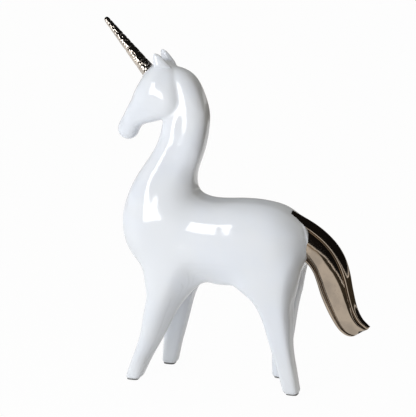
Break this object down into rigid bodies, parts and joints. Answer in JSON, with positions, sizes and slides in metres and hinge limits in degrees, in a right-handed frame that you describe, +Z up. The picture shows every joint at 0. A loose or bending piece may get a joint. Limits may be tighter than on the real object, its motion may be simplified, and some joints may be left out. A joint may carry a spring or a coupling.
{
  "type": "unicorn figurine",
  "caption": "Standing unicorn ornament in white glazed ceramic with an upright neck, a straight tapered horn and a swept tail in dark mirror glaze.",
  "frame": {"origin": "on the standing surface, under the middle of the box around the ornament", "axes": "+Z up, the head looks along -X and the tail runs to +X, the ornament's left side faces -Y"},
  "size_m": [0.2265, 0.0586, 0.3008],
  "materials": {
    "white_glaze": "cool white gloss glaze",
    "metal_glaze": "gunmetal mirror glaze over ceramic",
    "felt": "dark self-adhesive felt"
  },
  "bodies": {
    "root": {"body_casting": "white_glaze", "head_casting": "white_glaze", "horn": "metal_glaze", "tail": "metal_glaze", "ear_left": "white_glaze", "ear_right": "white_glaze", "leg_front_left": "white_glaze", "leg_front_right": "white_glaze", "leg_rear_left": "white_glaze", "leg_rear_right": "white_glaze", "foot_pad_front_left": "felt", "foot_pad_front_right": "felt", "foot_pad_rear_left": "felt", "foot_pad_rear_right": "felt"}
  },
  "joints": []
}
